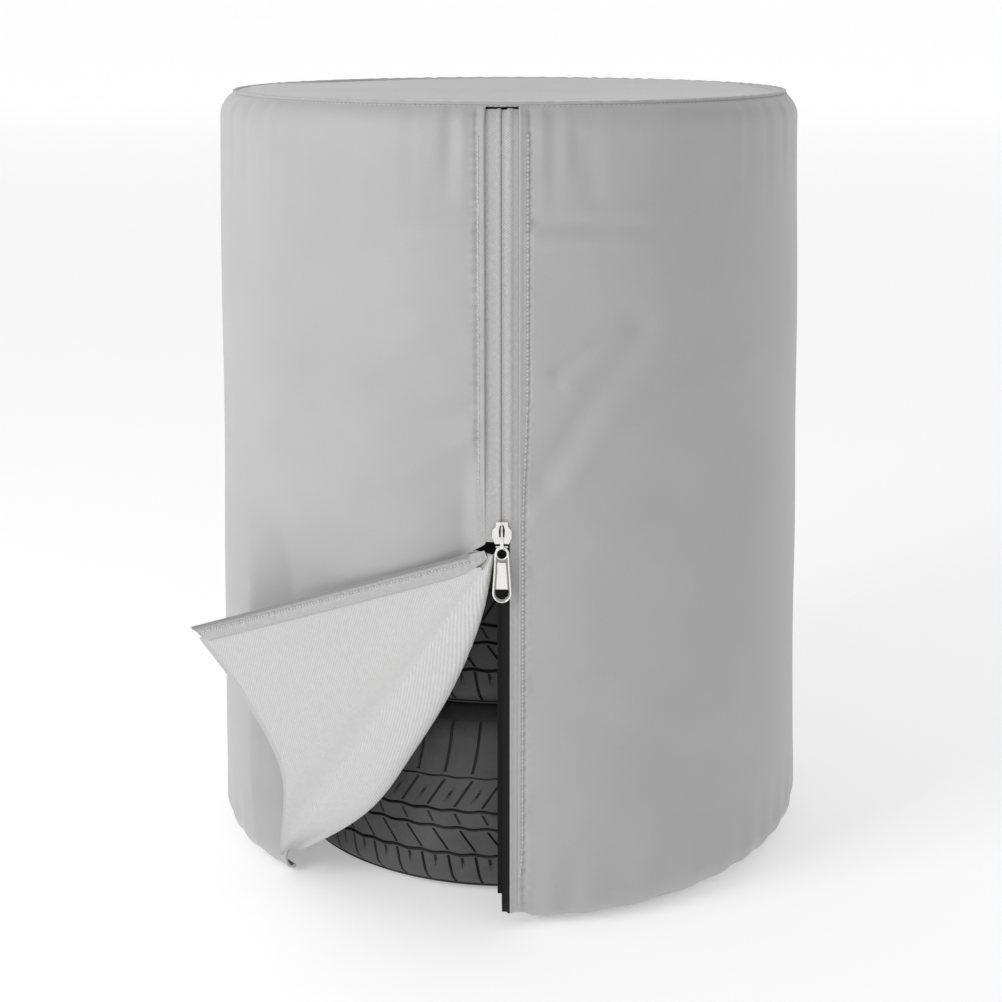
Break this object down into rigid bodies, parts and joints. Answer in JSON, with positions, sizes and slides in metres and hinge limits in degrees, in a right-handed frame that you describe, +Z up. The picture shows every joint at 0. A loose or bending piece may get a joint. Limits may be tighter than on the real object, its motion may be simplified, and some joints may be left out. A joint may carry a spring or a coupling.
{
  "type": "wheel cover set",
  "caption": "Fitted round fabric cover with a front zip, one side folded open over a stack of tyres lying flat",
  "frame": {"origin": "on the floor, at the middle of the stack of tyres", "axes": "+Z up along the stack, -Y towards the side with the zip, +X to the right as seen from that side"},
  "size_m": [0.8209, 0.8195, 1.0302],
  "materials": {
    "cover_cloth": "satin woven polyester",
    "lining_cloth": "silvery coated lining with a fine diagonal rib",
    "binding": "folded cloth binding over elastic",
    "zip_tape": "twill zip tape",
    "zip_coil": "nylon coil",
    "zip_metal": "polished nickel",
    "guard": "black webbing",
    "tyre": "matt rubber"
  },
  "bodies": {
    "tyre_stack": {"tyre_1": "tyre", "tyre_2": "tyre", "tyre_3": "tyre", "tyre_4": "tyre"},
    "cover": {"side_wall_left": "cover_cloth", "side_wall_right": "cover_cloth", "top_panel": "cover_cloth", "top_seam": "cover_cloth", "back_seam_tape": "binding", "hem_elastic_left": "binding", "hem_elastic_right": "binding", "fold_back_layer": "lining_cloth", "fold_front_layer": "lining_cloth", "fold_nose": "lining_cloth", "zip_tape_left": "zip_tape", "zip_tape_right": "zip_tape", "zip_coil_left": "zip_coil", "zip_coil_right": "zip_coil", "zip_stop_top": "zip_metal", "zip_box_bottom": "zip_metal", "zip_guard": "guard"},
    "slider": {"slider_body": "zip_metal", "slider_bridge": "zip_metal"},
    "pull": {"pull_tab": "zip_metal"},
    "flap_1": {"flap_panel_1": "lining_cloth", "flap_hem_tape_1": "binding"},
    "flap_2": {"flap_panel_2": "lining_cloth", "flap_hem_tape_2": "binding"},
    "flap_3": {"flap_panel_3": "lining_cloth", "flap_hem_tape_3": "binding", "flap_zip_tape": "zip_tape", "flap_zip_coil": "zip_coil"}
  },
  "joints": [
    {"name": "cover_lift", "type": "slide", "parent": "tyre_stack", "child": "cover", "axis": [0, 0, 1], "range_m": [0, 1.05]},
    {"name": "flap_fold", "type": "hinge", "parent": "cover", "child": "flap_1", "pos_m": [-0.15848, -0.33782, 0.25783], "axis": [-0.5283, 0.2051, -0.8239], "range_deg": [-158.35, 5]},
    {"name": "flap_curl_2", "type": "hinge", "parent": "flap_1", "child": "flap_2", "pos_m": [-0.18565, -0.32494, 0.2814], "axis": [-0.6188, 0.248, -0.7453], "range_deg": [-14.32, 0.5]},
    {"name": "flap_curl_3", "type": "hinge", "parent": "flap_2", "child": "flap_3", "pos_m": [-0.22796, -0.30828, 0.33255], "axis": [-0.7599, 0.3036, -0.5748], "range_deg": [-8.72, 0.5]},
    {"name": "zip_slide", "type": "slide", "parent": "cover", "child": "slider", "axis": [0, 0.0232, 0.9997], "range_m": [-0.44, 0.44]},
    {"name": "pull_swing", "type": "hinge", "parent": "slider", "child": "pull", "pos_m": [0, -0.40341, 0.50309], "axis": [-1, 0, 0], "range_deg": [-3, 140]}
  ],
  "couplings": [
    {"joint": "flap_curl_2", "follows": "flap_fold", "ratio": 0.090306},
    {"joint": "flap_curl_3", "follows": "flap_fold", "ratio": 0.054942}
  ]
}
